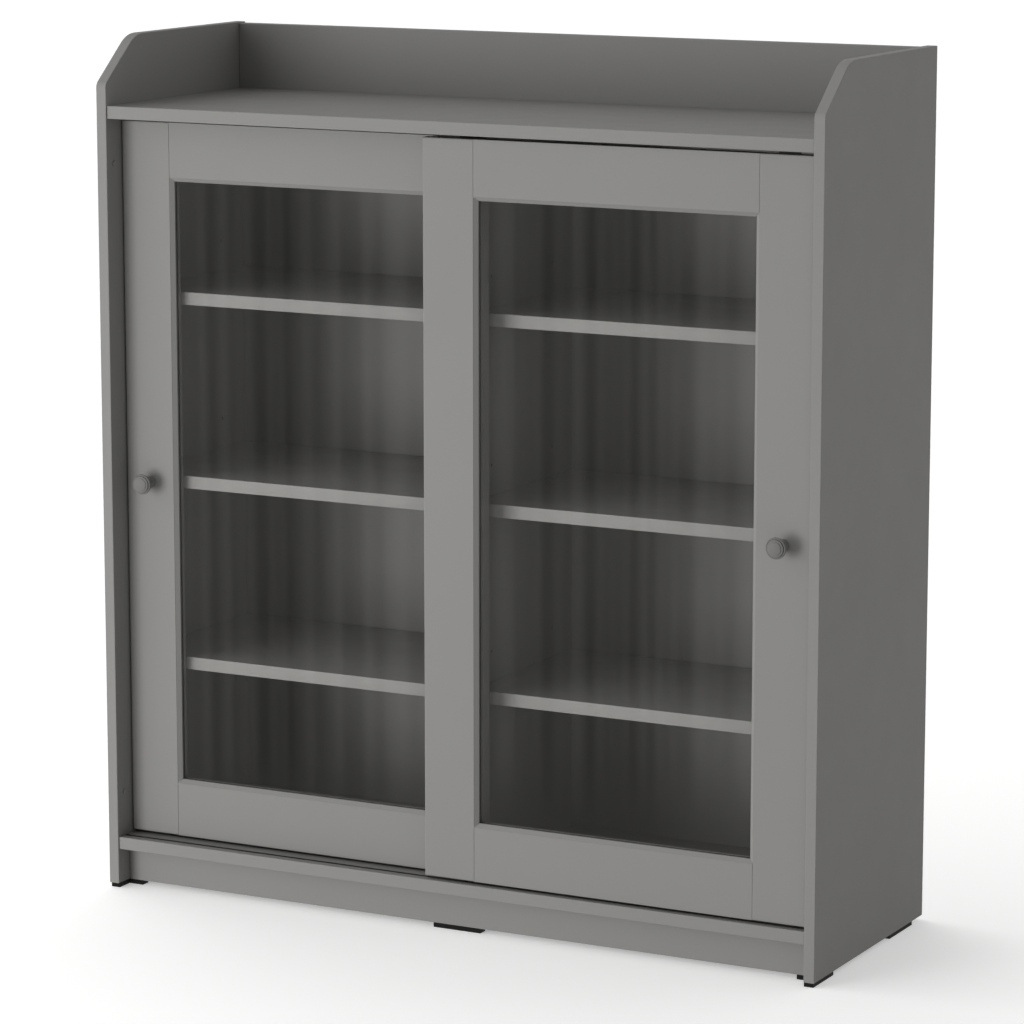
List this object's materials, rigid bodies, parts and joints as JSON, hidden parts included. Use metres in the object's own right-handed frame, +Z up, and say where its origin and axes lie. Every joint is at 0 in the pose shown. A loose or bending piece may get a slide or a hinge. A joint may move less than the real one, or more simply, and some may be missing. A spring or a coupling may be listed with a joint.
{
  "type": "display cabinet",
  "caption": "Free-standing display cabinet with sliding framed glass doors, adjustable shelves beside a divider, a plinth base, and a top tray with raised sides and back.",
  "frame": {"origin": "on the floor, under the middle of the whole object's box, knobs included", "axes": "+Z up, +X to the right seen from the front, +Y to the back"},
  "size_m": [1.05, 0.379, 1.16],
  "materials": {
    "painted_board": "warm mid grey, satin foil on board",
    "back_board": "warm mid grey, satin, thin hardboard",
    "knob": "darker warm grey, satin",
    "glass": "clear, polished",
    "track": "nearly black, extruded",
    "glide": "nearly black, moulded",
    "foot": "black, moulded",
    "bumper": "grey, soft",
    "screw": "zinc plated"
  },
  "bodies": {
    "cabinet": {"side_panel_left": "painted_board", "side_panel_right": "painted_board", "top_panel": "painted_board", "bottom_panel": "painted_board", "center_divider": "painted_board", "back_rail": "painted_board", "back_panel_left": "back_board", "back_panel_right": "back_board", "plinth_front": "painted_board", "plinth_rear": "painted_board", "shelf_left_lower": "painted_board", "shelf_left_middle": "painted_board", "shelf_left_upper": "painted_board", "shelf_right_lower": "painted_board", "shelf_right_middle": "painted_board", "shelf_right_upper": "painted_board", "track_bottom_front": "track", "track_bottom_rear": "track", "track_top_front": "track", "track_top_rear": "track", "foot_front_left": "foot", "foot_front_right": "foot", "foot_rear_left": "foot", "foot_rear_right": "foot", "foot_center_front": "foot", "foot_center_rear": "foot", "bumper_left_front_lower": "bumper", "bumper_left_front_upper": "bumper", "bumper_left_rear_lower": "bumper", "bumper_left_rear_upper": "bumper", "bumper_right_front_lower": "bumper", "bumper_right_front_upper": "bumper", "bumper_right_rear_lower": "bumper", "bumper_right_rear_upper": "bumper"},
    "left_door": {"left_door_stile_outer": "painted_board", "left_door_stile_inner": "painted_board", "left_door_rail_top": "painted_board", "left_door_rail_bottom": "painted_board", "left_door_glass": "glass", "left_door_knob": "knob", "left_door_knob_screw": "screw", "left_door_glide_outer": "glide", "left_door_glide_inner": "glide", "left_door_guide_outer": "glide", "left_door_guide_inner": "glide"},
    "right_door": {"right_door_stile_outer": "painted_board", "right_door_stile_inner": "painted_board", "right_door_rail_top": "painted_board", "right_door_rail_bottom": "painted_board", "right_door_glass": "glass", "right_door_knob": "knob", "right_door_knob_screw": "screw", "right_door_glide_outer": "glide", "right_door_glide_inner": "glide", "right_door_guide_outer": "glide", "right_door_guide_inner": "glide"}
  },
  "joints": [
    {"name": "left_door_slide", "type": "slide", "parent": "cabinet", "child": "left_door", "axis": [1, 0, 0], "range_m": [0, 0.205]},
    {"name": "right_door_slide", "type": "slide", "parent": "cabinet", "child": "right_door", "axis": [-1, 0, 0], "range_m": [0, 0.205]}
  ]
}
